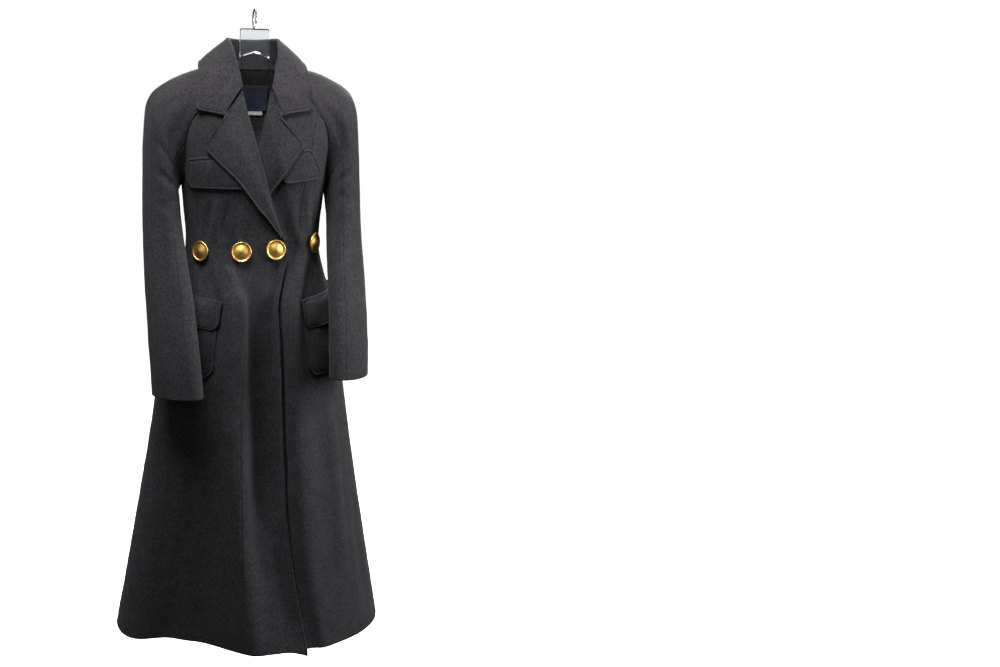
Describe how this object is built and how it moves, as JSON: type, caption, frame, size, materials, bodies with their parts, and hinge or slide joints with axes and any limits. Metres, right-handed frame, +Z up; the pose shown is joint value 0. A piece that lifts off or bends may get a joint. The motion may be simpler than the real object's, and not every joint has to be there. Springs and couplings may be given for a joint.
{
  "type": "safari coat on a hanger",
  "caption": "Long fitted wool safari coat with notched collar, raglan-like sleeves, flap pockets, domed buttons and a half belt, on a clear hanger.",
  "frame": {"origin": "inside top of the hanger's hook, where a rail carries it", "axes": "+Z up, the coat's front faces -Y, the wearer's left is +X"},
  "size_m": [0.6048, 0.3752, 1.3657],
  "materials": {
    "wool": "dark charcoal wool twill, matt",
    "brass": "brushed antique gold",
    "horn": "black, dull shine",
    "leather": "tan, semi-matt",
    "label": "woven, navy, left bare",
    "tape": "woven, off-white, left bare",
    "clear": "clear acrylic, polished",
    "steel": "polished steel wire"
  },
  "bodies": {
    "root": {"front_right": "wool", "front_left": "wool", "side_front_right": "wool", "side_front_left": "wool", "side_back_right": "wool", "side_back_left": "wool", "back_side_right": "wool", "back_side_left": "wool", "back_right": "wool", "back_left": "wool", "upper_sleeve_right": "wool", "upper_sleeve_left": "wool", "under_sleeve_right": "wool", "under_sleeve_left": "wool", "collar": "wool", "lapel_right": "wool", "lapel_left": "wool", "chest_flap_right": "wool", "chest_flap_left": "wool", "hip_pocket_right": "wool", "hip_pocket_left": "wool", "hip_flap_right": "wool", "hip_flap_left": "wool", "belt_over": "wool", "belt_under": "wool", "button_front_1": "brass", "button_front_2": "brass", "button_front_3": "brass", "button_front_4": "brass", "button_belt": "brass", "button_cuff_right_1": "horn", "button_cuff_right_2": "horn", "button_cuff_right_3": "horn", "button_cuff_left_1": "horn", "button_cuff_left_2": "horn", "button_cuff_left_3": "horn", "leather_tab": "leather", "neck_label": "label", "label_strip": "tape", "hanger": "clear", "hanger_hook": "steel"}
  },
  "joints": []
}
